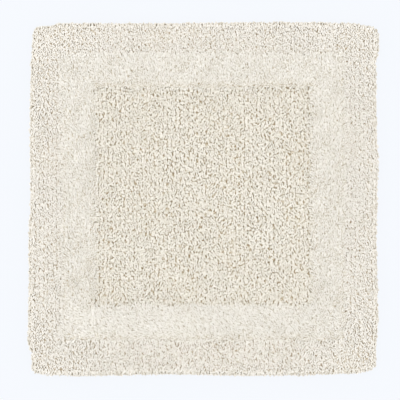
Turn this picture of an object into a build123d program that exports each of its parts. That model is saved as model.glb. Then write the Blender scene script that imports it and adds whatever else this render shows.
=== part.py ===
"""Square tufted cotton bath mat: three pile zones on a cloth and latex backing, with a sewn hem tape.

The frame: +Z up, the origin on the floor under the middle of the mat, +Y along the yarn rows. Millimetres.
"""

from build123d import *
import os

os.makedirs("parts", exist_ok=True)

# The mat's outline, over the yarn: the sides bow out a little, so the corners are pulled in.
mat_width = 602.0  # along X, between the middles of the sides
mat_length = 611.0  # along Y
side_bow = 5.0
corner_radius = 13.0

# The plush frame between the two looped zones. It sits a little off centre, as hand tufting leaves it.
frame_outer_size = (492.0, 495.0)
frame_outer_middle = (0.0, 3.0)
frame_inner_size = (377.0, 380.0)
frame_inner_middle = (-0.4, 4.3)
frame_corner_radius = 9.0

# Layers, from the floor up.
tape_thickness = 1.0
backing_cloth_thickness = 0.7
latex_thickness = 1.2
tufted_cloth_thickness = 0.7
border_top = 18.0
centre_top = 17.4
frame_top = 20.0

# The border's outermost loops hang over the edge and hide the cloths and the tape.
backing_inset = 8.0
skirt_bottom = 0.8
outer_rounding = 9.0
skirt_rounding = 2.0
zone_rounding = 3.2

# Rows of yarn run along Y, with a shallow valley between each row and the next.
row_pitch = 7.4
valley_width = 0.8
valley_depth = 4.0

# The hem tape and its two rows of lockstitch, which lie in channels so that the tape still rests flat.
tape_outer_inset = 9.0
tape_width = 26.0
stitch_row_insets = (12.5, 31.5)
channel_width = 1.5
channel_depth = 0.4
stitch_pitch = 8.0
stitch_length = 6.4
stitch_width = 0.8
stitch_bottom = 0.08
corner_margin = 5.0

# The blank care label, caught under the inner edge of the back tape.
label_width = 26.0
label_length = 52.0
label_thickness = 0.35
label_caught = 11.0
label_middle_x = 165.0

backing_cloth_bottom = tape_thickness
latex_bottom = backing_cloth_bottom + backing_cloth_thickness
tufted_cloth_bottom = latex_bottom + latex_thickness
pile_bottom = tufted_cloth_bottom + tufted_cloth_thickness


def side_corners(inset):
    """Half width and half length of the rectangle through the corners of the outline moved in by inset."""
    return mat_width / 2 - side_bow - inset, mat_length / 2 - side_bow - inset


def side_arc(side, inset):
    """One bowed side of the outline moved in by inset, running the same way round as its neighbours."""
    x, y = side_corners(inset)
    arcs = {
        "front": ((-x, -y), (0, -y - side_bow), (x, -y)),
        "right": ((x, -y), (x + side_bow, 0), (x, y)),
        "back": ((x, y), (0, y + side_bow), (-x, y)),
        "left": ((-x, y), (-x - side_bow, 0), (-x, -y)),
    }
    return ThreePointArc(*arcs[side])


SIDES = ("front", "right", "back", "left")


def outline(inset):
    """The mat's outline moved in by inset, as a flat face."""
    face = make_face([side_arc(side, inset) for side in SIDES])
    radius = max(corner_radius - inset, 1.5)
    return fillet(face.vertices(), radius)


def slab(face, bottom, top):
    """A flat layer with the face's outline between two heights."""
    return extrude(Pos(0, 0, bottom) * face, top - bottom)


def frame_face(size, middle):
    """A rounded rectangle that bounds the plush frame on one side."""
    return Pos(*middle) * RectangleRounded(*size, frame_corner_radius)


def edges_at(part, height):
    """The edges that lie wholly at one height."""
    return part.edges().filter_by_position(Axis.Z, height - 0.01, height + 0.01)


def with_rows(pile, top):
    """The pile with shallow valleys between its rows of yarn."""
    box = pile.bounding_box()
    half_count = int(mat_width / 2 // row_pitch)
    valleys = []
    for index in range(-half_count, half_count + 1):
        x = (index + 0.5) * row_pitch
        if box.min.X + row_pitch / 2 < x < box.max.X - row_pitch / 2:
            cutter = Box(valley_width, mat_length + 20, 2 * valley_depth)
            valleys.append(Pos(x, 0, top) * cutter)
    return pile - valleys


def border_loop_pile():
    """The looped border, with a skirt of loops that hangs over the edge of the cloths."""
    body = slab(outline(0), skirt_bottom, border_top)
    body = fillet(edges_at(body, border_top), outer_rounding)
    body = fillet(edges_at(body, skirt_bottom), skirt_rounding)
    body -= slab(outline(backing_inset), 0, pile_bottom)
    body -= slab(frame_face(frame_outer_size, frame_outer_middle), 0, border_top + 1)
    return with_rows(body, border_top)


def cut_pile_frame():
    """The plush frame, cut to stand a little above the loops."""
    ring = frame_face(frame_outer_size, frame_outer_middle) - frame_face(frame_inner_size, frame_inner_middle)
    body = slab(ring, pile_bottom, frame_top)
    body = fillet(edges_at(body, frame_top), zone_rounding)
    return with_rows(body, frame_top)


def centre_loop_pile():
    """The looped middle of the mat."""
    body = slab(frame_face(frame_inner_size, frame_inner_middle), pile_bottom, centre_top)
    body = fillet(edges_at(body, centre_top), zone_rounding)
    return with_rows(body, centre_top)


def care_label():
    """A blank ribbon label that lies on the backing cloth."""
    tape_inner_y = mat_length / 2 - tape_outer_inset - tape_width
    middle_y = tape_inner_y + label_caught - label_length / 2
    ribbon = Box(label_width, label_length, label_thickness)
    ribbon = fillet(ribbon.edges().filter_by(Axis.Z), 1.5)
    return Pos(label_middle_x, middle_y, tape_thickness - label_thickness / 2) * ribbon


def mitre_wedge(side):
    """The quarter of the plan that belongs to one side, out to the mitres in the corners."""
    x, y = side_corners(0)
    reach = 1.2
    corners = {
        "front": ((-x, -y), (x, -y)),
        "right": ((x, -y), (x, y)),
        "back": ((x, y), (-x, y)),
        "left": ((-x, y), (-x, -y)),
    }
    first, second = [(reach * px, reach * py) for px, py in corners[side]]
    return make_face(Polyline((0, 0), first, second, close=True))


def hem_tape(side, label):
    """One length of the hem tape, mitred at both ends, with a channel for each row of stitches."""
    ring = outline(tape_outer_inset) - outline(tape_outer_inset + tape_width)
    tape = slab(ring & mitre_wedge(side), 0, tape_thickness)
    for inset in stitch_row_insets:
        channel = outline(inset - channel_width / 2) - outline(inset + channel_width / 2)
        tape -= slab(channel, 0, channel_depth)
    return tape - label


def stitch_row(side, inset):
    """One row of separate stitches along a side, clear of the channel's walls and of the mitres."""
    arc = side_arc(side, inset)
    usable = arc.length - 2 * corner_margin
    count = int(usable // stitch_pitch)
    stitch = extrude(SlotOverall(stitch_length, stitch_width), channel_depth - stitch_bottom)
    stitches = []
    for index in range(count):
        along = corner_margin + (usable - count * stitch_pitch) / 2 + (index + 0.5) * stitch_pitch
        place = arc.position_at(along / arc.length)
        heading = arc.tangent_at(along / arc.length)
        turn = Vector(1, 0, 0).get_signed_angle(heading, Vector(0, 0, 1))
        stitches.append(Pos(place.X, place.Y, stitch_bottom) * Rot(0, 0, turn) * stitch)
    return stitches


def hem_stitching(side):
    """Both rows of stitches on one side, as a group of separate solids."""
    stitches = []
    for inset in stitch_row_insets:
        stitches += stitch_row(side, inset)
    return Compound(stitches)


label = care_label()
parts = {
    "border_loop_pile": border_loop_pile(),
    "cut_pile_frame": cut_pile_frame(),
    "centre_loop_pile": centre_loop_pile(),
    "tufted_primary_cloth": slab(outline(backing_inset), tufted_cloth_bottom, pile_bottom),
    "latex_coat": slab(outline(backing_inset), latex_bottom, tufted_cloth_bottom),
    "secondary_backing_cloth": slab(outline(backing_inset), backing_cloth_bottom, latex_bottom),
    "care_label": label,
}
for side in SIDES:
    parts[f"hem_tape_{side}"] = hem_tape(side, label)
    parts[f"hem_stitching_{side}"] = hem_stitching(side)

for name, shape in parts.items():
    export_step(shape, f"parts/{name}.step")
    box = shape.bounding_box()
    print(f"{name}: {box.size.X:.1f} x {box.size.Y:.1f} x {box.size.Z:.2f} mm, z from {box.min.Z:.2f}")
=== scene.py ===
"""The looks of a square tufted cotton bath mat, round its CAD frame: loops, cut plush, cloths and hem."""

import math

import bpy
import numpy as np
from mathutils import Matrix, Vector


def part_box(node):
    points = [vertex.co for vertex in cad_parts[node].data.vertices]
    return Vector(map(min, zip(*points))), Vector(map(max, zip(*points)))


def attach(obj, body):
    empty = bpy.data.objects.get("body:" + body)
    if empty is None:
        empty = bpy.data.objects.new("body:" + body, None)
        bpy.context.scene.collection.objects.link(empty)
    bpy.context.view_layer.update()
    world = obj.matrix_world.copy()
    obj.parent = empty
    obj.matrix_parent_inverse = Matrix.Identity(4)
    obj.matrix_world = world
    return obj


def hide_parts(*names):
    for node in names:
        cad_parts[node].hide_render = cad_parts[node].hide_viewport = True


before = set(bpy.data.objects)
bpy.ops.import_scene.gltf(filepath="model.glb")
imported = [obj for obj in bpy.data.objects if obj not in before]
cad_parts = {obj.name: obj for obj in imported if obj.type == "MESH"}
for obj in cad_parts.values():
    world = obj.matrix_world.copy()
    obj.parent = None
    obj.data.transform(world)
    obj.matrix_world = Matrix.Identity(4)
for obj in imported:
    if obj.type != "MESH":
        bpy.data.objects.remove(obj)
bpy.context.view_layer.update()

MM = 0.001
BODY = "root"

# Every random draw is seeded with SEED plus a number of its own.
SEED = 20471

# ---- Places, from the CAD frame, in metres ----

BORDER_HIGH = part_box("border_loop_pile")[1]
PLUSH_LOW, PLUSH_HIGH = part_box("cut_pile_frame")
CENTRE_LOW, CENTRE_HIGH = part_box("centre_loop_pile")
CLOTH_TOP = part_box("tufted_primary_cloth")[1].z
HALF_WIDTH = BORDER_HIGH.x
HALF_LENGTH = BORDER_HIGH.y

# Rows of tufts run along Y. The border's packed yarn ends a little way in from the edge of its loops.
ROW_PITCH = 7.4 * MM
YARN_EDGE_INSET = 3.5 * MM

# The outline in plan: the radius of its corners, and how far the CAD's sides bow out.
CORNER_RADIUS = 9.0 * MM
SIDE_BOW = 5.0 * MM
SIDES = ("front", "right", "back", "left")
SIDE_TURNS = {"front": 0.0, "right": math.pi / 2, "back": math.pi, "left": -math.pi / 2}

# How far each side of the yarn stands out of the CAD outline's box, in millimetres, at places from -1 to 1
# along it.
SIDE_WAVES = {
    "left": [
        (-1.0, -3), (-0.87, -2), (-0.82, 4), (-0.5, 2.5), (-0.2, 2.5),
        (0.0, -1), (0.35, 0.7), (0.8, -1.7), (1.0, -7),
    ],
    "right": [
        (-1.0, 0.5), (-0.91, -3), (-0.68, 2), (-0.25, -1.5), (0.2, 1.5),
        (0.5, -1.5), (0.79, -2), (0.85, 3.5), (1.0, 1),
    ],
    "front": [
        (-1.0, -5), (-0.9, 0), (-0.7, 1.5), (-0.2, -2), (0.25, 1.5),
        (0.6, 0), (0.88, -3), (0.94, -7), (1.0, -10),
    ],
    "back": [
        (-1.0, -6), (-0.9, -5), (-0.82, 0), (-0.2, 0), (0.3, 1.5),
        (0.6, 2), (0.86, 0), (0.92, -4), (1.0, -7),
    ],
}


def side_wave(side, along):
    """How far one side stands out of the CAD box at a place from -1 to 1 along it, in metres."""
    places, offsets = zip(*SIDE_WAVES[side])
    return np.interp(along, places, offsets) * MM


def rounded_distance(gaps_x, gaps_y, radius):
    """Distance in from a rounded outline, given the gaps to its sides, and the outward direction."""
    gap_x, gap_y = gaps_x.min(0), gaps_y.min(0)
    sign_x = np.where(gaps_x[0] < gaps_x[1], -1.0, 1.0)
    sign_y = np.where(gaps_y[0] < gaps_y[1], -1.0, 1.0)
    pull_x = np.maximum(radius - gap_x, 0.0)
    pull_y = np.maximum(radius - gap_y, 0.0)
    reach = np.hypot(pull_x, pull_y)
    distance = np.where(reach > 0, radius - reach, np.minimum(gap_x, gap_y))
    facing_x = np.where(reach > 0, pull_x, gap_x <= gap_y)
    facing_y = np.where(reach > 0, pull_y, gap_x > gap_y)
    size = np.maximum(np.hypot(facing_x, facing_y), 1e-9)
    return distance, facing_x * sign_x / size, facing_y * sign_y / size


def edge_distance(x, y):
    """Distance in from the yarn's uneven edge, and the outward direction there."""
    along_x, along_y = x / HALF_WIDTH, y / HALF_LENGTH
    gaps_x = np.stack([
        x + HALF_WIDTH + side_wave("left", along_y),
        HALF_WIDTH + side_wave("right", along_y) - x,
    ])
    gaps_y = np.stack([
        y + HALF_LENGTH + side_wave("front", along_x),
        HALF_LENGTH + side_wave("back", along_x) - y,
    ])
    return rounded_distance(gaps_x, gaps_y, CORNER_RADIUS)


def cloth_distance(x, y):
    """Distance in from the CAD outline, whose bowed sides the cloths follow, and the outward direction."""
    half_x = HALF_WIDTH - SIDE_BOW * (y / HALF_LENGTH) ** 2
    half_y = HALF_LENGTH - SIDE_BOW * (x / HALF_WIDTH) ** 2
    gaps_x = np.stack([x + half_x, half_x - x])
    gaps_y = np.stack([y + half_y, half_y - y])
    return rounded_distance(gaps_x, gaps_y, CORNER_RADIUS)


def pulled_in(distance_from, x, y, inset):
    """Places in plan, with those nearer to an outline than inset, or outside it, moved in to it."""
    distance, out_x, out_y = distance_from(x, y)
    short = np.maximum(inset - distance, 0)
    return x - short * out_x, y - short * out_y


def side_place(side, run, inset):
    """The place at a distance along one side from its middle, and at a distance in from the CAD outline."""
    half_run, half_rise = HALF_WIDTH, HALF_LENGTH
    if side in ("left", "right"):
        half_run, half_rise = HALF_LENGTH, HALF_WIDTH
    rise = half_rise - SIDE_BOW * (run / half_run) ** 2 - inset
    places = {"front": (run, -rise), "right": (rise, run), "back": (-run, rise), "left": (-rise, -run)}
    return places[side]


def side_half(side, inset):
    """Half the length of one side at a distance in from the CAD outline, to the mitre in the corner."""
    return (HALF_WIDTH if side in ("front", "back") else HALF_LENGTH) - SIDE_BOW - inset


# How finely the edge is traced, within a span that holds it.
TRACED_HEADINGS = 4001
TRACED_SPAN = (0.2, 0.5)
TRACED_HALVINGS = 30


def edge_points(inset, spacing):
    """Points evenly spaced round the mat at one distance in from its edge."""
    turn = np.linspace(0, 2 * math.pi, TRACED_HEADINGS)
    near, far = [np.full_like(turn, end) for end in TRACED_SPAN]
    for _ in range(TRACED_HALVINGS):
        middle = (near + far) / 2
        inside = edge_distance(middle * np.cos(turn), middle * np.sin(turn))[0] > inset
        near, far = np.where(inside, middle, near), np.where(inside, far, middle)
    x, y = near * np.cos(turn), near * np.sin(turn)
    run = np.concatenate([[0], np.cumsum(np.hypot(np.diff(x), np.diff(y)))])
    places = np.arange(0, run[-1] - spacing / 2, spacing)
    return np.interp(places, run, x), np.interp(places, run, y)


def box_distance(x, y, low, high):
    """Distance in from the edge of a plan rectangle, negative outside it, and the outward direction."""
    gap_x = np.minimum(x - low.x, high.x - x)
    gap_y = np.minimum(y - low.y, high.y - y)
    along_x = gap_x < gap_y
    sign_x = np.where(x > (low.x + high.x) / 2, 1.0, -1.0)
    sign_y = np.where(y > (low.y + high.y) / 2, 1.0, -1.0)
    outside = -np.hypot(np.minimum(gap_x, 0), np.minimum(gap_y, 0))
    distance = np.where((gap_x < 0) | (gap_y < 0), outside, np.minimum(gap_x, gap_y))
    return distance, np.where(along_x, sign_x, 0.0), np.where(along_x, 0.0, sign_y)


FEW_WAVES, MANY_WAVES = 10, 14
WAVELENGTH_SPREAD = (0.7, 1.6)
WAVE_PEAK = 1.5


def waves(x, y, seed, wavelength, count=FEW_WAVES):
    """A smooth random field over the plan, with values mostly from -1 to 1."""
    rng = np.random.default_rng(SEED + seed)
    total = np.zeros_like(x)
    for _ in range(count):
        heading = rng.uniform(0, math.pi)
        number = 2 * math.pi / (wavelength * rng.uniform(*WAVELENGTH_SPREAD))
        ahead = x * math.cos(heading) + y * math.sin(heading)
        total += np.sin(number * ahead + rng.uniform(0, 2 * math.pi))
    return total * math.sqrt(2 / count) / WAVE_PEAK


def added(name, data):
    """A new object in the scene."""
    item = bpy.data.objects.new(name, data)
    bpy.context.scene.collection.objects.link(item)
    return item


def varied(rng, x, y, seed, mean, slow, wavelength, own):
    """A value for each place: a mean, slow waves over the plan, and a random part that is the place's own."""
    return mean + slow * waves(x, y, seed, wavelength) + rng.normal(0, own, len(x))


# ---- Strands of yarn, many at a time ----

class Strands:
    """Strands of yarn that share one shape of mesh, gathered before they are made into pieces."""

    def __init__(self, points_along, sides):
        self.points_along, self.sides = points_along, sides
        self.rings, self.tints, self.rises, self.sort_keys = [], [], [], []

    def add(self, rings, tint, rise, sort_key):
        self.rings.append(rings.astype(np.float32))
        self.tints.append(tint)
        self.rises.append(rise)
        self.sort_keys.append(sort_key)

    def triangles_each(self):
        caps = 2 * (self.sides // 2 - 1)
        return 2 * ((self.points_along - 1) * self.sides + caps)


def turned(points, yaw, lean, lean_heading):
    """Points of each strand turned by yaw about +Z, then tipped over by lean towards a heading."""
    x, y, z = points[..., 0], points[..., 1], points[..., 2]
    extra = (1,) * (points.ndim - 2)
    cos_yaw, sin_yaw = np.cos(yaw).reshape(-1, *extra), np.sin(yaw).reshape(-1, *extra)
    x, y = x * cos_yaw - y * sin_yaw, x * sin_yaw + y * cos_yaw
    to_x, to_y = np.cos(lean_heading).reshape(-1, *extra), np.sin(lean_heading).reshape(-1, *extra)
    cos_lean, sin_lean = np.cos(lean).reshape(-1, *extra), np.sin(lean).reshape(-1, *extra)
    ahead = x * to_x + y * to_y
    moved_ahead = ahead * cos_lean + z * sin_lean
    z = z * cos_lean - ahead * sin_lean
    return np.stack([x + (moved_ahead - ahead) * to_x, y + (moved_ahead - ahead) * to_y, z], -1)


def plied_rings(path, radius, sides, twist, depth):
    """Rings of points round flat paths (across, along, up), lobed like two plies twisted together."""
    heading = np.gradient(path, axis=1)
    heading /= np.linalg.norm(heading, axis=-1, keepdims=True)
    side = np.zeros_like(heading)
    side[..., 0] = 1.0
    normal = np.cross(heading, side)
    normal /= np.linalg.norm(normal, axis=-1, keepdims=True)
    around = np.linspace(0, 2 * math.pi, sides, endpoint=False)
    phase = twist[:, :, None]
    bulge = 1 + depth * np.cos(2 * (around[None, None, :] - phase))
    reach = (radius[:, :, None] * bulge)[..., None]
    wheel = np.cos(around)[None, None, :, None] * side[:, :, None, :]
    wheel = wheel + np.sin(around)[None, None, :, None] * normal[:, :, None, :]
    return path[:, :, None, :] + reach * wheel


FLOOR_GAP = 0.3 * MM
FLOOR_SOFTNESS = 1.5 * MM

# A loop's mesh, how far its legs tuck in below its round top, how far it wanders sideways, and its plies.
LOOP_POINTS, LOOP_SIDES = 7, 6
LOOP_TUCK = math.radians(52)
LOOP_WANDER = 0.5 * MM
LOOP_TWIST = 2.6 * math.pi
LOOP_PLY_DEPTH = 0.09


def above_floor(z):
    """Heights eased to stay above the floor, so that what hangs lower is pressed flatter and not cut off."""
    low = FLOOR_GAP + FLOOR_SOFTNESS
    eased = FLOOR_GAP + FLOOR_SOFTNESS * np.exp(np.minimum(z - low, 0) / FLOOR_SOFTNESS)
    return np.where(z < low, eased, z)


def loops(strands, x, y, z, height, full_height, half_span, radius, yaw, lean, lean_heading, tint, rng):
    """Adds loops of yarn: teardrops that stand on (x, y, z), each turned and tipped its own way.

    The yarn is painted darker below full_height as shade, so a loop that stands lower stays a little darker.
    """
    count = len(x)
    swing = np.linspace(-LOOP_TUCK, math.pi + LOOP_TUCK, LOOP_POINTS)[None, :]
    top = half_span[:, None]
    centre = height[:, None] - radius[:, None] - top
    leg = centre / math.sin(LOOP_TUCK)
    along = top * np.cos(swing)
    up = centre + np.where(np.sin(swing) > 0, top * np.sin(swing), leg * np.sin(swing))
    wander = rng.uniform(-LOOP_WANDER, LOOP_WANDER, (count, 1))
    across = wander * np.sin(swing * 1.5 + rng.uniform(0, 6, (count, 1)))
    path = np.stack([across * np.ones_like(along), along, up], -1)
    twist = rng.uniform(0, math.pi, (count, 1)) + np.linspace(0, LOOP_TWIST, LOOP_POINTS)[None, :]
    thick = radius[:, None] * np.ones(LOOP_POINTS)[None, :]
    rings = plied_rings(path, thick, LOOP_SIDES, twist, LOOP_PLY_DEPTH)
    # The share of full_height, which the cotton material turns into painted shade lower down.
    rise = np.clip(rings[..., 2] / full_height, 0, 1)
    rings = turned(rings, yaw, lean, lean_heading)
    rings += np.stack([x, y, z], -1)[:, None, None, :]
    rings[..., 2] = above_floor(rings[..., 2])
    strands.add(rings, tint, rise, x)


# A cut strand's mesh, how late along it bends over, and how thick it is at places from its root to its tip.
PLUSH_POINTS, PLUSH_SIDES = 5, 6
PLUSH_CURL = 1.8
TAPER_PLACES = (0, 0.5, 0.85, 1.0)
TAPER_SIZES = (0.8, 1.0, 0.9, 0.35)


def plush(strands, x, y, z, height, radius, bend, bend_heading, tint, rng):
    """Adds cut strands: each stands on (x, y, z), bends over towards a heading and ends in a soft tip."""
    count = len(x)
    step = np.linspace(0, 1, PLUSH_POINTS)[None, :]
    along = bend[:, None] * step ** PLUSH_CURL
    up = height[:, None] * step
    path = np.stack([np.zeros_like(along), along, up], -1)
    taper = np.interp(step[0], TAPER_PLACES, TAPER_SIZES)
    twist = rng.uniform(0, math.pi, (count, 1)) + np.zeros((1, PLUSH_POINTS))
    rings = plied_rings(path, radius[:, None] * taper[None, :], PLUSH_SIDES, twist, 0.0)
    # The share of each strand's height, which the cotton material turns into painted shade near its root.
    rise = np.clip(rings[..., 2] / height[:, None, None], 0, 1)
    rings = turned(rings, bend_heading - math.pi / 2, np.zeros(count), np.zeros(count))
    rings += np.stack([x, y, z], -1)[:, None, None, :]
    strands.add(rings, tint, rise, x)


# A piece with more than 200,000 triangles would be thinned when it is exported.
MOST_TRIANGLES = 190_000


def strand_pieces(strands, name, material, replaced):
    """Makes the gathered strands into pieces of neighbouring rows, none with more than MOST_TRIANGLES."""
    rings = np.concatenate(strands.rings)
    tints = np.concatenate(strands.tints)
    rises = np.concatenate(strands.rises)
    order = np.argsort(np.concatenate(strands.sort_keys), kind="stable")
    share = MOST_TRIANGLES // strands.triangles_each()
    piece_count = -(-len(order) // share)
    for index, members in enumerate(np.array_split(order, piece_count)):
        piece = tube_mesh(f"{name}_{index + 1:02d}", rings[members], tints[members], rises[members])
        piece.data.materials.append(material)
        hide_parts(replaced)
        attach(piece, BODY)


# The share of its own cell of the baking map that each tube fills, and the margin round it.
BAKE_SHARE, BAKE_MARGIN = 0.84, 0.08


def tube_mesh(name, rings, tint, rise):
    """One mesh of closed tubes, with its own map for baking and its yarn colours as an attribute."""
    count, along, sides = rings.shape[:3]
    first = (np.arange(count) * along * sides)[:, None]
    step, side = np.meshgrid(np.arange(along - 1), np.arange(sides), indexing="ij")
    step, side = step.ravel(), side.ravel()
    corner_steps = np.stack([step, step, step + 1, step + 1], -1)
    corner_sides = np.stack([side, side + 1, side + 1, side], -1)
    fan = np.arange(1, sides - 1, 2)
    cap = np.stack([0 * fan, fan, fan + 1, fan + 2], -1)
    corner_steps = np.concatenate([corner_steps, 0 * cap, 0 * cap + along - 1])
    corner_sides = np.concatenate([corner_sides, cap[:, ::-1], cap])
    corners = corner_steps * sides + corner_sides % sides
    faces = (first[:, :, None] + corners[None]).reshape(-1)
    mesh = bpy.data.meshes.new(name)
    mesh.vertices.add(count * along * sides)
    mesh.vertices.foreach_set("co", rings.reshape(-1).astype(np.float32))
    mesh.loops.add(len(faces))
    mesh.loops.foreach_set("vertex_index", faces.astype(np.int32))
    mesh.polygons.add(len(faces) // 4)
    mesh.polygons.foreach_set("loop_start", np.arange(0, len(faces), 4, dtype=np.int32))
    mesh.polygons.foreach_set("use_smooth", np.ones(len(faces) // 4, bool))
    mesh.update(calc_edges=True)
    cells = math.ceil(math.sqrt(count))
    cell = np.arange(count)
    inner = np.stack([corner_sides / sides, corner_steps / (along - 1)], -1) * BAKE_SHARE + BAKE_MARGIN
    places = np.stack([cell % cells, cell // cells], -1)[:, None, None, :] + inner[None]
    bake_map = mesh.uv_layers.new(name="OFBake")
    bake_map.uv.foreach_set("vector", (places / cells).reshape(-1).astype(np.float32))
    colours = np.ones((count, along, sides, 4), np.float32)
    colours[..., 0] = tint[:, None, None, 0]
    # Green holds the rise; on the pile the cotton material turns it into painted shade low down.
    colours[..., 1] = rise
    colours[..., 2] = tint[:, None, None, 1]
    yarn = mesh.attributes.new("yarn", "FLOAT_COLOR", "POINT")
    yarn.data.foreach_set("color", colours.reshape(-1))
    return added(name, mesh)


# ---- Layers: closed bodies over a grid in plan ----

def grid_lines(step, *stops):
    """Lines about one step apart that pass through each of the stops."""
    runs = [np.linspace(a, b, max(2, round((b - a) / step) + 1))[:-1] for a, b in zip(stops, stops[1:])]
    return np.concatenate(runs + [[stops[-1]]])


def plan_grid(across, along):
    """The grid of places in plan and the middles of its cells."""
    x, y = np.meshgrid(across, along, indexing="ij")
    return x, y, (x[:-1, :-1] + x[1:, 1:]) / 2, (y[:-1, :-1] + y[1:, 1:]) / 2


def layer(name, material, replaced, x, y, top, bottom, cells, colours):
    """A closed body between two heights, over the kept cells of a grid. colours is its yarn attribute."""
    index = np.arange(x.size).reshape(x.shape)
    upper = np.stack([index[:-1, :-1], index[1:, :-1], index[1:, 1:], index[:-1, 1:]], -1)[cells]
    start, end = upper.reshape(-1), np.roll(upper, -1, axis=1).reshape(-1)
    rim = ~np.isin(start * x.size + end, end * x.size + start)
    start, end = start[rim], end[rim]
    walls = np.stack([end, start, start + x.size, end + x.size], -1)
    faces = np.concatenate([upper, upper[:, ::-1] + x.size, walls])
    heights = [np.broadcast_to(height, x.shape) for height in (top, bottom)]
    places = np.concatenate([np.stack([x, y, height], -1).reshape(-1, 3) for height in heights])
    used, faces = np.unique(faces, return_inverse=True)
    mesh = bpy.data.meshes.new(name)
    mesh.from_pydata(places[used].tolist(), [], faces.reshape(-1, 4).tolist())
    mesh.polygons.foreach_set("use_smooth", np.ones(len(mesh.polygons), bool))
    mesh.materials.append(material)
    by_place = np.ones((x.size, 4), np.float32)
    by_place[:, :3] = np.stack([np.broadcast_to(value, x.shape) for value in colours], -1).reshape(-1, 3)
    yarn = mesh.attributes.new("yarn", "FLOAT_COLOR", "POINT")
    yarn.data.foreach_set("color", np.tile(by_place, (2, 1))[used].reshape(-1))
    piece = added(name, mesh)
    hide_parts(replaced)
    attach(piece, BODY)
    return piece


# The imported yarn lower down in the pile.
BED_STEP = 3.4 * MM
BED_RELIEF = 0.9 * MM
BED_RELIEF_LENGTH = 8 * MM
BED_DROP = 0.9 * MM
BED_DROP_REACH = 3 * MM
# The size and seed of patches of painted shade, where the packed yarn is darkened as if in hollows.
HOLLOW_LENGTH = 7 * MM
HOLLOW_SEED = 44


def bed_height(x, y, top, gap, seed):
    """The height of a zone's packed yarn: relief at the size of a tuft, lower beside the zone's edges."""
    relief = BED_RELIEF * waves(x, y, seed, BED_RELIEF_LENGTH, MANY_WAVES)
    return top + relief - BED_DROP * np.exp(-np.maximum(gap, 0) / BED_DROP_REACH)


# The lines between the zones are uneven: each tuft may stand a little past them, and they wander slowly.
PAST_THE_LINE = -0.6 * MM
PAST_THE_LINE_SPREAD = 1.2 * MM
STRAY = 1.8 * MM
STRAY_LENGTH = 28 * MM
STRAY_SEEDS = (50, 51)


def uneven(x, seed):
    """How far inside the line of its zone each tuft has to stand, which is often less than nothing."""
    return np.random.default_rng(SEED + seed).normal(PAST_THE_LINE, PAST_THE_LINE_SPREAD, len(x))


def strayed(x, y):
    """How far the lines between the zones stray, along X and along Y, at these places."""
    return [STRAY * waves(x, y, seed, STRAY_LENGTH) for seed in STRAY_SEEDS]


def bed(name, material, replaced, x, y, top, cells):
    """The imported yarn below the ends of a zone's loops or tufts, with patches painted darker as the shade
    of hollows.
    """
    # Green of the yarn attribute: low in the patches painted darker as the shade of hollows.
    tone = 1 - np.clip(2.5 * waves(x, y, HOLLOW_SEED, HOLLOW_LENGTH, MANY_WAVES) - 0.6, 0, 1)
    stray_x, stray_y = strayed(x, y)
    layer(name, material, replaced, x + stray_x, y + stray_y, top, CLOTH_TOP, cells, (0.5, tone, 0.5))


# ---- Materials ----

# Colours of yarn, painted darker and warmer lower down as shade: in the hollows, lower down and on top. Then
# how much its strands differ, and its sheen.
CENTRE_YARN_AND_SHADE = ((0.57, 0.47, 0.32), (0.77, 0.70, 0.57), (0.893, 0.842, 0.755))
BORDER_YARN_AND_SHADE = ((0.57, 0.48, 0.36), (0.77, 0.705, 0.60), (0.895, 0.848, 0.780))
PLUSH_YARN_AND_SHADE = ((0.64, 0.575, 0.46), (0.82, 0.778, 0.703), (0.945, 0.904, 0.841))
LOOP_FINISH = (0.11, 0.15)
PLUSH_FINISH = (0.08, 0.25)

# Colours of packed yarn, painted with shade in its crevices and light on the tops of its ends: in its
# crevices, beside them and on top. Then how big and how uneven its ends are.
CENTRE_PACKED_SHADING = ((0.36, 0.27, 0.15), (0.72, 0.63, 0.48), (0.86, 0.80, 0.70))
BORDER_PACKED_SHADING = ((0.36, 0.28, 0.18), (0.72, 0.64, 0.52), (0.86, 0.805, 0.725))
PLUSH_PACKED_SHADING = ((0.55, 0.485, 0.37), (0.80, 0.748, 0.653), (0.885, 0.849, 0.79))
LOOP_CELL, PLUSH_CELL = 2.3 * MM, 1.9 * MM
SLACKNESS = 1.2 * MM


def new_material(name):
    """A material with no more nodes than its shader and output, and what is needed to add to it."""
    material = bpy.data.materials.new(name)
    material.use_nodes = True
    nodes = material.node_tree.nodes
    return material, nodes, material.node_tree.links, nodes["Principled BSDF"]


def ramp(nodes, stops):
    """A colour ramp with these (position, colour) stops."""
    node = nodes.new("ShaderNodeValToRGB")
    elements = node.color_ramp.elements
    while len(elements) > 2:
        elements.remove(elements[-1])
    for index, (position, colour) in enumerate(stops):
        element = elements[index] if index < 2 else elements.new(position)
        element.position = position
        element.color = (*colour, 1)
    return node


def noise(nodes, links, place, scale, detail=2.0):
    """The outputs of a noise texture over the object."""
    node = nodes.new("ShaderNodeTexNoise")
    node.inputs["Scale"].default_value = scale
    node.inputs["Detail"].default_value = detail
    links.new(place, node.inputs["Vector"])
    return node.outputs


def yarn_parts(nodes, links, kind):
    """The three parts of the mesh's yarn attribute, read as a Color or as a Vector."""
    yarn = nodes.new("ShaderNodeAttribute")
    yarn.attribute_name = "yarn"
    parts = nodes.new({"Color": "ShaderNodeSeparateColor", "Vector": "ShaderNodeSeparateXYZ"}[kind])
    links.new(yarn.outputs[kind], parts.inputs[kind])
    return parts.outputs


def matt(shader, roughness, specular):
    """Makes a surface dull."""
    shader.inputs["Roughness"].default_value = roughness
    shader.inputs["Specular IOR Level"].default_value = specular


def multiplied(nodes, links, first, second):
    """The product of two colours."""
    node = nodes.new("ShaderNodeMix")
    node.data_type = "RGBA"
    node.blend_type = "MULTIPLY"
    node.inputs["Factor"].default_value = 1.0
    links.new(first, node.inputs["A"])
    links.new(second, node.inputs["B"])
    return node.outputs["Result"]


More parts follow.
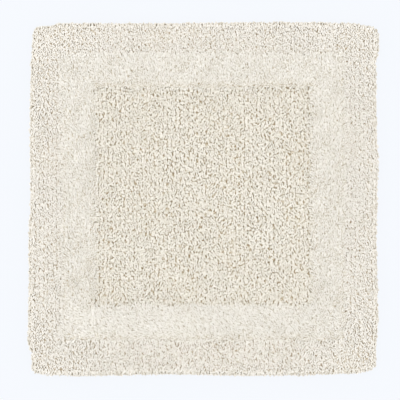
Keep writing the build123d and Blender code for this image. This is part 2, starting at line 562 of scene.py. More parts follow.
def cotton(name, colours, spread, sheen):
    """Undyed cotton yarn: painted darker and warmer low in the pile as shade, uneven from strand to strand,
    and mottled.
    """
    material, nodes, links, shader = new_material(name)
    hollow_shade, root, tip = colours
    parts = yarn_parts(nodes, links, "Color")
    # Painted shade: the yarn darkens and warms from its tip down to the hollows, by its share of height.
    rise = ramp(nodes, [(0.12, hollow_shade), (0.52, root), (0.86, tip)])
    links.new(parts["Green"], rise.inputs["Fac"])
    dark = 1 - spread
    dull = 1 - spread / 2
    tufts = ramp(nodes, [(0.0, (dull, dull, dull - 0.015)), (1.0, (1, 1, 1))])
    links.new(parts["Red"], tufts.inputs["Fac"])
    strands = ramp(nodes, [(0.0, (dark, dark * 0.99, dark * 0.96)), (0.6, (1, 1, 1))])
    links.new(parts["Blue"], strands.inputs["Fac"])
    place = nodes.new("ShaderNodeTexCoord")
    fibres = noise(nodes, links, place.outputs["Object"], 1400.0)
    mottle = ramp(nodes, [(0.35, (0.93, 0.925, 0.91)), (0.65, (1.0, 1.0, 1.0))])
    links.new(fibres["Fac"], mottle.inputs["Fac"])
    colour = multiplied(nodes, links, rise.outputs["Color"], tufts.outputs["Color"])
    colour = multiplied(nodes, links, colour, strands.outputs["Color"])
    colour = multiplied(nodes, links, colour, mottle.outputs["Color"])
    links.new(colour, shader.inputs["Base Color"])
    matt(shader, 0.9, 0.15)
    shader.inputs["Sheen Weight"].default_value = sheen
    shader.inputs["Sheen Roughness"].default_value = 0.5
    return material


def packed_yarn(name, colours, cell):
    """Tightly packed yarn, seen between the strands above it: rounded ends with painted shade in the crevices
    between them, a painted highlight on their tops, and painted shade in its hollows.
    """
    material, nodes, links, shader = new_material(name)
    crevice_shade, yarn, top = colours
    place = nodes.new("ShaderNodeTexCoord")
    fibres = noise(nodes, links, place.outputs["Object"], 300.0)
    strayed_place = nodes.new("ShaderNodeVectorMath")
    strayed_place.operation = "MULTIPLY_ADD"
    links.new(fibres["Color"], strayed_place.inputs[0])
    strayed_place.inputs[1].default_value = (SLACKNESS, SLACKNESS, SLACKNESS)
    links.new(place.outputs["Object"], strayed_place.inputs[2])
    stretch = nodes.new("ShaderNodeMapping")
    stretch.inputs["Scale"].default_value = (1 / cell, 0.55 / cell, 0.55 / cell)
    links.new(strayed_place.outputs["Vector"], stretch.inputs["Vector"])
    ends = nodes.new("ShaderNodeTexVoronoi")
    ends.feature = "DISTANCE_TO_EDGE"
    ends.inputs["Scale"].default_value = 1.0
    links.new(stretch.outputs["Vector"], ends.inputs["Vector"])
    # Painted relief: shade in the crevices between the ends, light on their tops.
    rounded = ramp(nodes, [(0.03, crevice_shade), (0.12, yarn), (0.35, top)])
    links.new(ends.outputs["Distance"], rounded.inputs["Fac"])
    parts = yarn_parts(nodes, links, "Color")
    # Painted shade in the hollows that the yarn attribute's Green marks.
    depth = ramp(nodes, [(0.0, (0.66, 0.60, 0.50)), (1.0, (1.0, 1.0, 1.0))])
    links.new(parts["Green"], depth.inputs["Fac"])
    colour = multiplied(nodes, links, rounded.outputs["Color"], depth.outputs["Color"])
    links.new(colour, shader.inputs["Base Color"])
    matt(shader, 0.95, 0.1)
    return material


def place_in(nodes, links):
    """The place on the object, in metres, as separate values."""
    place = nodes.new("ShaderNodeTexCoord")
    parts = nodes.new("ShaderNodeSeparateXYZ")
    links.new(place.outputs["Object"], parts.inputs["Vector"])
    return place.outputs["Object"], parts.outputs["X"], parts.outputs["Y"]


def calculated(nodes, links, operation, *values):
    """The result of a Math node on these sockets and numbers."""
    node = nodes.new("ShaderNodeMath")
    node.operation = operation
    for index, value in enumerate(values):
        if isinstance(value, (int, float)):
            node.inputs[index].default_value = value
        else:
            links.new(value, node.inputs[index])
    return node.outputs[0]


def ribs(nodes, links, value, pitch):
    """Rounded ribs from 0 to 1, one for each pitch of the value."""
    angle = calculated(nodes, links, "MULTIPLY", value, 2 * math.pi / pitch)
    wave = calculated(nodes, links, "SINE", angle)
    return calculated(nodes, links, "MULTIPLY_ADD", wave, 0.5, 0.5)


def cloth_shader(nodes, links, shader, place, height, stops, roughness, bump, slub):
    """Colours a cloth from the height of its weave, painted darker where it is low as shade, with slubs and a
    little uneven ageing, and bumps it.
    """
    # Painted shade: the low places of the weave, its grooves, gaps and pits, take the darker colour.
    weave = ramp(nodes, stops)
    links.new(height, weave.inputs["Fac"])
    slubs = noise(nodes, links, place, slub, 3.0)
    tone = ramp(nodes, [(0.3, (0.90, 0.89, 0.87)), (0.7, (1.0, 1.0, 1.0))])
    links.new(slubs["Fac"], tone.inputs["Fac"])
    colour = multiplied(nodes, links, weave.outputs["Color"], tone.outputs["Color"])
    links.new(colour, shader.inputs["Base Color"])
    relief = nodes.new("ShaderNodeBump")
    relief.inputs["Strength"].default_value = 0.6
    relief.inputs["Distance"].default_value = bump
    links.new(height, relief.inputs["Height"])
    links.new(relief.outputs["Normal"], shader.inputs["Normal"])
    matt(shader, roughness, 0.2)


def plain_weave(name, thread, gap, pitch, bump):
    """Cloth of threads that pass over and under each other one by one."""
    material, nodes, links, shader = new_material(name)
    place, x, y = place_in(nodes, links)
    warp, weft = ribs(nodes, links, x, pitch), ribs(nodes, links, y, pitch)
    over = calculated(nodes, links, "MULTIPLY", warp, weft)
    both = calculated(nodes, links, "MAXIMUM", warp, weft)
    crossings = calculated(nodes, links, "MULTIPLY", over, 0.3)
    height = calculated(nodes, links, "MULTIPLY_ADD", both, 0.7, crossings)
    cloth_shader(nodes, links, shader, place, height, [(0.35, gap), (0.8, thread)], 0.85, bump, 60.0)
    return material


def herringbone(name, thread, gap, pitch, run, bump):
    """Twill tape, whose ribs turn back after each run across it. Its yarn attribute is (along, across)."""
    material, nodes, links, shader = new_material(name)
    place = place_in(nodes, links)[0]
    parts = yarn_parts(nodes, links, "Vector")
    turned_back = calculated(nodes, links, "PINGPONG", parts["Y"], run)
    height = ribs(nodes, links, calculated(nodes, links, "ADD", parts["X"], turned_back), pitch)
    cloth_shader(nodes, links, shader, place, height, [(0.15, gap), (0.7, thread)], 0.8, bump, 90.0)
    return material


def latex():
    """Matt latex, spread by a blade: yellowed unevenly, with fine pits."""
    material, nodes, links, shader = new_material("latex")
    place = place_in(nodes, links)[0]
    pits = noise(nodes, links, place, 900.0)
    # The darker colour is painted shade in the pits.
    cloth_shader(nodes, links, shader, place, pits["Fac"],
                 [(0.35, (0.66, 0.60, 0.46)), (0.6, (0.78, 0.73, 0.60))], 0.55, 0.1 * MM, 12.0)
    return material


def thread():
    """White sewing thread, painted darker between its plies as shade, and a little darker from stitch to
    stitch.
    """
    material, nodes, links, shader = new_material("sewing_thread")
    place = place_in(nodes, links)[0]
    parts = yarn_parts(nodes, links, "Color")
    plies = ribs(nodes, links, parts["Green"], 0.14)
    cloth_shader(nodes, links, shader, place, plies,
                 [(0.1, (0.72, 0.70, 0.64)), (0.6, (0.90, 0.88, 0.83))], 0.6, 0.05 * MM, 120.0)
    return material


def ribbon():
    """Satin ribbon: fine ribs, and a selvedge down each side. Its yarn attribute is (along, across)."""
    material, nodes, links, shader = new_material("label_ribbon")
    place = place_in(nodes, links)[0]
    parts = yarn_parts(nodes, links, "Vector")
    weft = ribs(nodes, links, parts["X"], 0.6 * MM)
    selvedge = calculated(nodes, links, "LESS_THAN", parts["Y"], 1.6 * MM)
    height = calculated(nodes, links, "SUBTRACT", weft, calculated(nodes, links, "MULTIPLY", selvedge, 0.4))
    # The darker colour is painted shade between the ribs and on the lowered selvedge.
    cloth_shader(nodes, links, shader, place, height,
                 [(0.0, (0.62, 0.61, 0.58)), (0.6, (0.82, 0.81, 0.78))], 0.45, 0.05 * MM, 150.0)
    return material


# ---- Pile ----

# Slanting strokes, and how far strands stand out of line and out of step.
STROKE_LENGTH = 12.0 * MM
STROKE_SLANT = 2.4 * MM
LINE_JITTER = 0.38 * MM
LINE_WANDER = 1.1 * MM
LINE_WANDER_LENGTH = 90 * MM
SPACING_JITTER = 0.15


def strand_lines(steps, spacing, seed):
    """Places of strands in lines along Y, at steps to the side of each row of tufts.

    Each row is broken into strokes that all slant the same way, out of step with the rows beside it.
    """
    rng = np.random.default_rng(SEED + seed)
    row_count = int(HALF_WIDTH / ROW_PITCH) + 1
    rows = np.arange(-row_count, row_count + 1) * ROW_PITCH
    lines = (rows[:, None] + np.array(steps)).ravel()
    places = np.arange(-HALF_LENGTH - spacing, HALF_LENGTH + spacing, spacing)
    x, y = np.meshgrid(lines, places, indexing="ij")
    y = y + rng.uniform(0, spacing, (len(lines), 1))
    phase = np.repeat(rng.random(len(rows)), len(steps))[:, None]
    x = x - STROKE_SLANT * ((y / STROKE_LENGTH + phase) % 1 - 0.5)
    x, y = x.ravel(), y.ravel()
    x = x + rng.normal(0, LINE_JITTER, len(x)) + LINE_WANDER * waves(x, y, seed + 1, LINE_WANDER_LENGTH)
    y = y + rng.normal(0, SPACING_JITTER * spacing, len(y))
    return x, y


def centre_gap(x, y):
    """Distance in from the edge of the looped middle, negative outside it."""
    return box_distance(x, y, CENTRE_LOW, CENTRE_HIGH)[0]


def plush_gap(x, y):
    """Distance in from the edges of the cut-pile frame, negative outside it."""
    return np.minimum(box_distance(x, y, PLUSH_LOW, PLUSH_HIGH)[0], -centre_gap(x, y))


def border_gap(x, y):
    """Distance in from the edges of the border's packed yarn, negative outside it."""
    return np.minimum(edge_distance(x, y)[0] - YARN_EDGE_INSET, -box_distance(x, y, PLUSH_LOW, PLUSH_HIGH)[0])


EDGE_FALL = 4.8 * MM
EDGE_FALL_REACH = 3.0 * MM


def edge_fall(edge):
    """How much lower the border's packed yarn is near the mat's edge, where it rounds over the side."""
    return EDGE_FALL * np.exp(-np.maximum(edge - YARN_EDGE_INSET, 0) / EDGE_FALL_REACH)


# How far below a zone's top its packed yarn is, and how far below that its loops are rooted.
CENTRE_BED_DEPTH = 4.2 * MM
BORDER_BED_DEPTH = 3.0 * MM
LOOP_ROOT_DEPTH = 2.0 * MM

# The middle's tufts are three thick strands wide, the border's are four thinner ones.
CENTRE_LINES = (-2.15 * MM, 0.0, 2.15 * MM)
CENTRE_SPACING = 3.6 * MM
CENTRE_RADIUS = (1.18 * MM, 1.34 * MM)
BORDER_LINES = (-2.46 * MM, -0.82 * MM, 0.82 * MM, 2.46 * MM)
BORDER_SPACING = 3.4 * MM
BORDER_RADIUS = (0.92 * MM, 1.06 * MM)

# The share of the places that have no loop, where packed yarn shows as a dark speck. The border's is given at
# the front, in the middle and at the back.
CENTRE_GAPS = 0.06
BORDER_GAPS = (0.08, 0.0, 0.0)
CENTRE_ROUGHNESS = 0.7 * MM
BORDER_ROUGHNESS = 0.5 * MM

# How loops vary: their mean turn, the size and length of slow waves, and the spread of each loop's own part.
LOOP_YAW = (0.12, 0.16, 60 * MM, 0.28)
LOOP_SLOPE_X = (0.08, 45 * MM, 0.08)
LOOP_SLOPE_Y = (0.12, 50 * MM, 0.13)
LOOP_SWELL = (0.4 * MM, 120 * MM)
TUFT_SHARE = 0.8
TUFT_LENGTH = 7 * MM
LOOP_HALF_SPAN = (0.95 * MM, 1.55 * MM)
# How far below a zone's top its loops' yarn is lightest; lower down it is painted darker as shade.
LIGHTEST_DEPTH = 0.6 * MM


def loop_zone(strands, x, y, top, depth, thick, seed, push_x, push_y, rough):
    """Loops for one zone. push is the slope they lean over by, and rough is how uneven their heights are."""
    rng = np.random.default_rng(SEED + seed)
    yaw = varied(rng, x, y, seed + 3, *LOOP_YAW)
    slope_x = varied(rng, x, y, seed + 4, push_x, *LOOP_SLOPE_X)
    slope_y = varied(rng, x, y, seed + 5, push_y, *LOOP_SLOPE_Y)
    reach = depth + LOOP_ROOT_DEPTH
    height = varied(rng, x, y, seed + 6, reach, *LOOP_SWELL, rough)
    height = height + TUFT_SHARE * rough * waves(x, y, seed + 7, TUFT_LENGTH, MANY_WAVES)
    lean = np.arctan(np.hypot(slope_x, slope_y))
    heading = np.arctan2(slope_y, slope_x)
    half_span = rng.uniform(*LOOP_HALF_SPAN, len(x))
    radius = rng.uniform(*thick, len(x))
    loops(strands, x, y, top - reach, height / np.cos(lean), reach - LIGHTEST_DEPTH, half_span, radius, yaw,
          lean, heading, rng.random((len(x), 2)), rng)


def centre_pile(material, packed):
    """The looped middle."""
    across = grid_lines(BED_STEP, CENTRE_LOW.x, CENTRE_HIGH.x)
    x, y, cell_x, cell_y = plan_grid(across, grid_lines(BED_STEP, CENTRE_LOW.y, CENTRE_HIGH.y))
    top = bed_height(x, y, CENTRE_HIGH.z - CENTRE_BED_DEPTH, centre_gap(x, y), 40)
    cells = centre_gap(cell_x, cell_y) > 0
    bed("centre_loop_bed", packed, "centre_loop_pile", x, y, top, cells)

    x, y = strand_lines(CENTRE_LINES, CENTRE_SPACING, 10)
    stray_x, stray_y = strayed(x, y)
    gap = box_distance(x - stray_x, y - stray_y, CENTRE_LOW, CENTRE_HIGH)[0]
    keep = gap > uneven(x, 60)
    keep = keep & (np.random.default_rng(SEED + 70).random(len(x)) > CENTRE_GAPS)
    x, y = x[keep], y[keep]
    strands = Strands(LOOP_POINTS, LOOP_SIDES)
    top = np.full(len(x), CENTRE_HIGH.z)
    loop_zone(strands, x, y, top, CENTRE_BED_DEPTH, CENTRE_RADIUS, 20, 0.0, 0.0, CENTRE_ROUGHNESS)
    strand_pieces(strands, "centre_loops", material, "centre_loop_pile")


# Tiers of loops round the edge: how far each is tipped over in degrees, and, in millimetres, how far in from
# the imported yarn's end and how high its loops are rooted, and how far they reach.
EDGE_TIERS = [
    (12, 4.0, 10.2, 7.0),
    (25, 3.0, 9.3, 7.6),
    (40, 2.0, 8.5, 7.8),
    (57, 2.0, 7.5, 7.5),
    (75, 2.0, 6.2, 6.8),
    (95, 2.0, 5.0, 6.4),
    (118, 2.0, 4.6, 6.6),
    (125, 4.6, 4.3, 5.6),
    (145, 6.8, 4.5, 4.6),
]
EDGE_SPACING = 2.9 * MM

# How the edge's loops vary, and the reach of a loop as a share of the height at which yarn is lightest, below
# which it is painted darker as shade.
EDGE_HEADING_SPREAD = 0.22
EDGE_YAW = (0.1, 0.35)
EDGE_LEAN_SPREAD = 0.14
EDGE_STRAY = 0.8 * MM
EDGE_REACH_SPREAD = 0.8 * MM
EDGE_LIGHTEST = 0.8
EDGE_HALF_SPAN = (1.5 * MM, 2.5 * MM)
EDGE_RADIUS = (0.90 * MM, 1.10 * MM)

# The border's grid reaches past the mat. Its upright loops lean out more the nearer to the edge they stand.
GRID_MARGIN = 8 * MM
UPRIGHT_INSET = YARN_EDGE_INSET + 2.0 * MM
OUTWARD_SLOPE = 0.45
OUTWARD_REACH = 4 * MM


def border_pile(material, packed):
    """The looped border, whose outer loops hang over the edge of the cloths in tiers."""
    end_x, end_y = HALF_WIDTH + GRID_MARGIN, HALF_LENGTH + GRID_MARGIN
    across = grid_lines(BED_STEP, -end_x, PLUSH_LOW.x, PLUSH_HIGH.x, end_x)
    along = grid_lines(BED_STEP, -end_y, PLUSH_LOW.y, PLUSH_HIGH.y, end_y)
    x, y, cell_x, cell_y = plan_grid(across, along)
    cells = border_gap(cell_x, cell_y) > 0
    x, y = pulled_in(edge_distance, x, y, YARN_EDGE_INSET)
    fall = edge_fall(edge_distance(x, y)[0])
    top = bed_height(x, y, BORDER_HIGH.z - BORDER_BED_DEPTH, border_gap(x, y), 41) - fall
    bed("border_loop_bed", packed, "border_loop_pile", x, y, top, cells)

    x, y = strand_lines(BORDER_LINES, BORDER_SPACING, 11)
    stray_x, stray_y = strayed(x, y)
    edge, edge_x, edge_y = edge_distance(x, y)
    gap = box_distance(x - stray_x, y - stray_y, PLUSH_LOW, PLUSH_HIGH)[0]
    keep = (edge > UPRIGHT_INSET) & (gap < -uneven(x, 61))
    share = np.interp(y / HALF_LENGTH, (-1, 0, 1), BORDER_GAPS)
    keep = keep & (np.random.default_rng(SEED + 71).random(len(x)) > share)
    x, y, edge, edge_x, edge_y = x[keep], y[keep], edge[keep], edge_x[keep], edge_y[keep]
    over = OUTWARD_SLOPE * np.exp(-(edge - UPRIGHT_INSET) / OUTWARD_REACH)
    top = BORDER_HIGH.z - 0.8 * edge_fall(edge)
    strands = Strands(LOOP_POINTS, LOOP_SIDES)
    loop_zone(strands, x, y, top, BORDER_BED_DEPTH, BORDER_RADIUS, 21, over * edge_x, over * edge_y,
              BORDER_ROUGHNESS)
    for tier, (lean, inset, root, reach) in enumerate(EDGE_TIERS):
        edge_tier(strands, tier, math.radians(lean), inset * MM, root * MM, reach * MM)
    strand_pieces(strands, "border_loops", material, "border_loop_pile")


def edge_tier(strands, tier, lean, inset, root, reach):
    """One tier of loops round the edge, all tipped outwards by about the same angle."""
    rng = np.random.default_rng(SEED + 200 + tier)
    x, y = edge_points(YARN_EDGE_INSET + inset, EDGE_SPACING)
    count = len(x)
    _, out_x, out_y = edge_distance(x, y)
    heading = np.arctan2(out_y, out_x) + rng.normal(0, EDGE_HEADING_SPREAD, count)
    yaw = rng.normal(*EDGE_YAW, count)
    x = x + rng.normal(0, EDGE_STRAY, count)
    y = y + rng.normal(0, EDGE_STRAY, count)
    own_lean = lean + rng.normal(0, EDGE_LEAN_SPREAD, count)
    height = reach + rng.normal(0, EDGE_REACH_SPREAD, count)
    half_span = rng.uniform(*EDGE_HALF_SPAN, count)
    radius = rng.uniform(*EDGE_RADIUS, count)
    root = np.full(count, root)
    loops(strands, x, y, root, height, reach / EDGE_LIGHTEST, half_span, radius, yaw, own_lean, heading,
          rng.random((count, 2)), rng)


PLUSH_BED_DEPTH = 3.2 * MM
PLUSH_ROOT_DEPTH = 2.0 * MM
PLUSH_LINES = (-2.6 * MM, -0.87 * MM, 0.87 * MM, 2.6 * MM)
PLUSH_SPACING = 2.75 * MM
PLUSH_RADIUS = (0.85 * MM, 1.1 * MM)

# The plush is combed towards +Y and -X, more to -X along the front. How it varies is given as for loops.
COMB_X = -0.6 * MM
COMB_X_FRONT = -2.6 * MM
COMB_Y = 3.6 * MM
BEND_X = (0.6 * MM, 40 * MM, 0.8 * MM)
BEND_Y = (0.8 * MM, 40 * MM, 1.0 * MM)
PLUSH_SWELL = (0.2 * MM, 90 * MM, 0.6 * MM)
PARTING = 0.9 * MM
PARTING_LENGTH = 9 * MM
PLUSH_RELIEF = 0.4 * MM
PLUSH_RELIEF_LENGTH = 8 * MM

# Beside the looped zones it leans out over them instead, and it is lower.
SPILL = 4.0 * MM
SPILL_REACH = 3 * MM
SPILL_DROP = 1.7 * MM


def plush_pile(material, packed):
    """The cut-pile frame: brushes of strands, combed over, that part and spill over the loops beside them."""
    across = grid_lines(BED_STEP, PLUSH_LOW.x, CENTRE_LOW.x, CENTRE_HIGH.x, PLUSH_HIGH.x)
    along = grid_lines(BED_STEP, PLUSH_LOW.y, CENTRE_LOW.y, CENTRE_HIGH.y, PLUSH_HIGH.y)
    x, y, cell_x, cell_y = plan_grid(across, along)
    top = bed_height(x, y, PLUSH_HIGH.z - PLUSH_BED_DEPTH, plush_gap(x, y), 42)
    bed("plush_frame_bed", packed, "cut_pile_frame", x, y, top, plush_gap(cell_x, cell_y) > 0)

    rng = np.random.default_rng(SEED + 30)
    x, y = strand_lines(PLUSH_LINES, PLUSH_SPACING, 12)
    stray_x, stray_y = strayed(x, y)
    gap, out_x, out_y = box_distance(x - stray_x, y - stray_y, PLUSH_LOW, PLUSH_HIGH)
    hole, in_x, in_y = box_distance(x - stray_x, y - stray_y, CENTRE_LOW, CENTRE_HIGH)
    stray = uneven(x, 62)
    keep = (gap > stray) & (hole < -stray)
    x, y, gap, hole = x[keep], y[keep], gap[keep], hole[keep]
    out_x, out_y, in_x, in_y = out_x[keep], out_y[keep], in_x[keep], in_y[keep]
    count = len(x)
    front = np.clip((CENTRE_LOW.y - y) / (8 * MM), 0, 1)
    push_x = varied(rng, x, y, 31, COMB_X + COMB_X_FRONT * front, *BEND_X)
    push_x = push_x + PARTING * waves(x, y, 34, PARTING_LENGTH, MANY_WAVES)
    push_y = varied(rng, x, y, 32, COMB_Y, *BEND_Y)
    push_y = push_y + PARTING * waves(x, y, 35, PARTING_LENGTH, MANY_WAVES)
    outer = np.exp(-np.maximum(gap, 0) / SPILL_REACH)
    inner = np.exp(np.minimum(hole, 0) / SPILL_REACH)
    push_x = push_x * (1 - outer) * (1 - inner) + SPILL * (out_x * outer - in_x * inner)
    push_y = push_y * (1 - outer) * (1 - inner) + SPILL * (out_y * outer - in_y * inner)
    reach = PLUSH_BED_DEPTH + PLUSH_ROOT_DEPTH
    height = varied(rng, x, y, 33, reach, *PLUSH_SWELL) - SPILL_DROP * (outer + inner)
    height = height + PLUSH_RELIEF * waves(x, y, 36, PLUSH_RELIEF_LENGTH, MANY_WAVES)
    strands = Strands(PLUSH_POINTS, PLUSH_SIDES)
    root = np.full(count, PLUSH_HIGH.z - reach)
    plush(strands, x, y, root, height, rng.uniform(*PLUSH_RADIUS, count), np.hypot(push_x, push_y),
          np.arctan2(push_y, push_x), rng.random((count, 2)), rng)
    strand_pieces(strands, "plush_frame", material, "cut_pile_frame")


# ---- Cloths, hem tape, stitches and label ----

CLOTH_STEP = 5.0 * MM
CLOTH_RIPPLE = 0.06 * MM
COAT_RIPPLE = 0.03 * MM
RIPPLE_LENGTH = 30 * MM
CLOTH_INSET = 8.0 * MM
TAPE_INSET = 9.0 * MM
TAPE_WIDTH = 26.0 * MM
STITCH_INSETS = (12.5 * MM, 31.5 * MM)
STITCH_PITCH = 8.0 * MM
STITCH_PULL_REACH = 0.9 * MM
STITCH_HALF_SPAN = 3.3 * MM
STITCH_POINTS, STITCH_SIDES = 7, 6
THREAD_RADIUS = 0.38 * MM
THREAD_PLY_DEPTH = 0.12
THINNEST = 0.04 * MM
LABEL_CAUGHT = 11 * MM
LABEL_THICKNESS = 0.28 * MM


def whole_layer(node, name, material, ripple):
    """A cloth or coat as wide as the mat's backing, with slightly uneven faces, in place of its CAD node."""
    low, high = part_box(node)
    across = grid_lines(CLOTH_STEP, -HALF_WIDTH, HALF_WIDTH)
    x, y, cell_x, cell_y = plan_grid(across, grid_lines(CLOTH_STEP, -HALF_LENGTH, HALF_LENGTH))
    cells = cloth_distance(cell_x, cell_y)[0] > CLOTH_INSET
    x, y = pulled_in(cloth_distance, x, y, CLOTH_INSET + 0.4 * MM * waves(x, y, 70, 15 * MM))
    top = high.z - ripple * (1 + waves(x, y, 71, RIPPLE_LENGTH))
    bottom = low.z + ripple * (1 + waves(x, y, 72, RIPPLE_LENGTH))
    return layer(name, material, node, x, y, top, bottom, cells, (0.5, 0.5, 0.5))


def hem_tape(side, material):
    """One length of hem tape, drawn in along its two rows of stitches, with slightly wavy edges."""
    low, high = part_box(f"hem_tape_{side}")
    label_low, label_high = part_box("care_label")
    share, across = np.meshgrid(np.linspace(-1, 1, 291), np.linspace(0, TAPE_WIDTH, 27), indexing="ij")
    edge = np.minimum(across, TAPE_WIDTH - across)
    run = share * side_half(side, TAPE_INSET + across)
    wavy = 0.3 * MM * waves(run, 0 * run, 80 + len(side), 20 * MM)
    inset = TAPE_INSET + across + wavy * np.exp(-edge / (2 * MM))
    x, y = side_place(side, run, inset)
    drawn = sum(np.exp(-((inset - row) / STITCH_PULL_REACH) ** 2) for row in STITCH_INSETS)
    bottom = low.z + 0.10 * MM + 0.15 * MM * np.exp(-edge / (0.8 * MM)) + 0.04 * MM * waves(x, y, 81, 25 * MM)
    bottom = bottom + drawn * (0.40 - 0.10 * np.cos(2 * math.pi * run / STITCH_PITCH)) * MM
    beside_label = np.abs(x - (label_low.x + label_high.x) / 2) - (label_high.x - label_low.x) / 2
    over_label = (beside_label < MM) & (y > label_low.y) & (y < label_high.y)
    top = np.where(over_label, high.z - (label_high.z - label_low.z), high.z)
    bottom = np.minimum(bottom, top - THINNEST)
    cells = np.ones((run.shape[0] - 1, run.shape[1] - 1), bool)
    tape = layer(f"hem_tape_cloth_{side}", material, f"hem_tape_{side}", x, y, top, bottom, cells,
                 (run, across, 0.5))


def hem_stitches(side, material):
    """Both rows of stitches on one side: short spans of thread whose ends dip into the tape."""
    rng = np.random.default_rng(SEED + 90 + len(side))
    strands = Strands(STITCH_POINTS, STITCH_SIDES)
    for row in STITCH_INSETS:
        count = int((side_half(side, row) - 5 * MM) // STITCH_PITCH)
        run = np.concatenate([-np.arange(count)[::-1] - 1, np.arange(count) + 1]) * STITCH_PITCH
        x, y = side_place(side, run, row)
        step = np.linspace(-1, 1, STITCH_POINTS)[None, :] * np.ones((len(run), 1))
        dip = 0.52 * MM + 0.30 * MM * step ** 4
        skew = 0.12 * MM * rng.normal(0, 1, (len(run), 1))
        path = np.stack([skew * step, STITCH_HALF_SPAN * step, dip], -1)
        twist = rng.uniform(0, math.pi, (len(run), 1)) + np.linspace(0, 3 * math.pi, STITCH_POINTS)[None, :]
        rings = plied_rings(path, np.full(step.shape, THREAD_RADIUS), STITCH_SIDES, twist, THREAD_PLY_DEPTH)
        rise = np.broadcast_to((step[:, :, None] + 1) / 2, rings.shape[:3])
        turn = SIDE_TURNS[side] - math.pi / 2 + rng.normal(0, 0.03, len(run))
        rings = turned(rings, turn, np.zeros(len(run)), np.zeros(len(run)))
        rings += np.stack([x, y, np.zeros(len(run))], -1)[:, None, None, :]
        strands.add(rings, rng.random((len(run), 2)), rise, run)
    strand_pieces(strands, f"hem_stitches_{side}", material, f"hem_stitching_{side}")


def care_label(material):
    """A blank ribbon label, caught under the back tape, whose free end sags to the floor."""
    low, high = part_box("care_label")
    width, length = high.x - low.x, high.y - low.y
    x, y, _, _ = plan_grid(np.linspace(low.x, high.x, 27), np.linspace(low.y, high.y, 53))
    free = np.clip((high.y - LABEL_CAUGHT - y) / (length - LABEL_CAUGHT), 0, 1)
    sag = 0.50 * MM * free ** 2 * (3 - 2 * free) + 0.05 * MM * free * waves(x, y, 95, 18 * MM)
    folded = 0.12 * MM * (y < low.y + 3.5 * MM)
    bottom = low.z - sag + THINNEST
    top = bottom + LABEL_THICKNESS + folded
    x = x + 0.4 * MM * free * np.sin(6 * free)
    across = np.minimum(x - low.x, high.x - x)
    cells = np.ones((x.shape[0] - 1, x.shape[1] - 1), bool)
    label = layer("care_label_ribbon", material, "care_label", x, y, top, bottom, cells,
                  (y - low.y, across, 0.5))


def underside():
    """Everything below the pile, from the tufted cloth down to the stitches."""
    # Each cloth's second colour is painted shade for the low places of its weave.
    fine_weave = plain_weave("primary_cloth", (0.80, 0.76, 0.67), (0.52, 0.47, 0.38), 1.3 * MM, 0.15 * MM)
    tufted = whole_layer("tufted_primary_cloth", "tufted_cloth", fine_weave, COAT_RIPPLE)
    whole_layer("latex_coat", "latex_layer", latex(), COAT_RIPPLE)
    weave = plain_weave("backing_cloth", (0.82, 0.79, 0.72), (0.56, 0.52, 0.44), 1.6 * MM, 0.2 * MM)
    backing = whole_layer("secondary_backing_cloth", "backing_cloth", weave, CLOTH_RIPPLE)
    tape = herringbone("hem_tape", (0.74, 0.69, 0.60), (0.50, 0.45, 0.37), 1.5 * MM, 4.4 * MM, 0.15 * MM)
    sewn = thread()
    for side in SIDES:
        hem_tape(side, tape)
        hem_stitches(side, sewn)
    care_label(ribbon())


# ---- Camera, light and floor ----

# The picture is VIEW_WIDTH across at the height VIEW_PLANE, and the mat is a little off its middle.
VIEW_WIDTH = 694.4 * MM
VIEW_PLANE = 15 * MM
LENS = 100.0
SENSOR = 36.0
MAT_RIGHT_OF_MIDDLE = 6.4 * MM
MAT_UP_OF_MIDDLE = 1.3 * MM

FLOOR_HALF = 6.0
FLOOR_GLOW = 0.91
DAYLIGHT = 1.30
KEY_PLACE = (-0.8, 0.8, 4.9)
KEY_SIZE = 1.6
KEY_POWER = 40


def make_camera():
    """Looks straight down, with the top of the picture at +Y."""
    camera = added("camera", bpy.data.cameras.new("camera"))
    camera.data.lens = LENS
    camera.data.sensor_width = SENSOR
    distance = VIEW_WIDTH * LENS / SENSOR
    camera.location = (-MAT_RIGHT_OF_MIDDLE, -MAT_UP_OF_MIDDLE, VIEW_PLANE + distance)
    camera.data.clip_end = 50
    bpy.context.scene.camera = camera


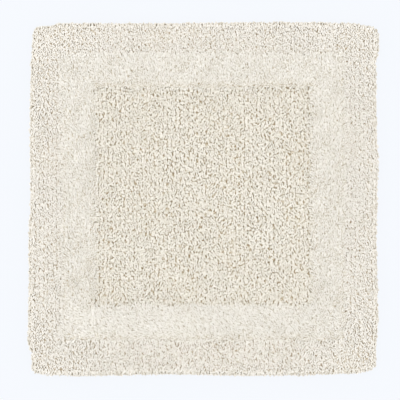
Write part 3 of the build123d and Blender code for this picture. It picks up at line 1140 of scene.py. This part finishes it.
def make_floor():
    """A pale floor that keeps its shadows faint."""
    mesh = bpy.data.meshes.new("floor")
    corners = [(-1, -1), (1, -1), (1, 1), (-1, 1)]
    mesh.from_pydata([(FLOOR_HALF * x, FLOOR_HALF * y, 0) for x, y in corners], [], [(0, 1, 2, 3)])
    floor = added("floor", mesh)
    material, _, _, shader = new_material("pale_floor")
    shader.inputs["Base Color"].default_value = (0.06, 0.06, 0.06, 1)
    matt(shader, 0.9, 0.0)
    shader.inputs["Emission Color"].default_value = (0.93, 0.956, 1.0, 1)
    shader.inputs["Emission Strength"].default_value = FLOOR_GLOW
    mesh.materials.append(material)


def area_light(name, place, size, power):
    """A square soft box that faces the middle of the mat."""
    data = bpy.data.lights.new(name, "AREA")
    data.size = size
    data.energy = power
    light = added(name, data)
    light.location = place
    x, y, z = place
    light.rotation_euler = (math.atan2(math.hypot(x, y), z), 0, math.atan2(x, -y))


def make_light():
    """Even daylight with one soft key from behind and to the left."""
    world = bpy.data.worlds.new("studio")
    world.use_nodes = True
    background = world.node_tree.nodes["Background"]
    background.inputs["Color"].default_value = (0.93, 0.96, 1.0, 1)
    background.inputs["Strength"].default_value = DAYLIGHT
    bpy.context.scene.world = world
    area_light("key", KEY_PLACE, KEY_SIZE, KEY_POWER)


def main():
    scene = bpy.context.scene
    scene.view_settings.view_transform = "Standard"
    make_camera()
    make_floor()
    make_light()
    centre_cotton = cotton("centre_cotton", CENTRE_YARN_AND_SHADE, *LOOP_FINISH)
    border_cotton = cotton("border_cotton", BORDER_YARN_AND_SHADE, *LOOP_FINISH)
    plush_cotton = cotton("cotton_plush", PLUSH_YARN_AND_SHADE, *PLUSH_FINISH)
    centre_pile(centre_cotton, packed_yarn("packed_centre", CENTRE_PACKED_SHADING, LOOP_CELL))
    border_pile(border_cotton, packed_yarn("packed_border", BORDER_PACKED_SHADING, LOOP_CELL))
    plush_pile(plush_cotton, packed_yarn("packed_plush", PLUSH_PACKED_SHADING, PLUSH_CELL))
    underside()


main()
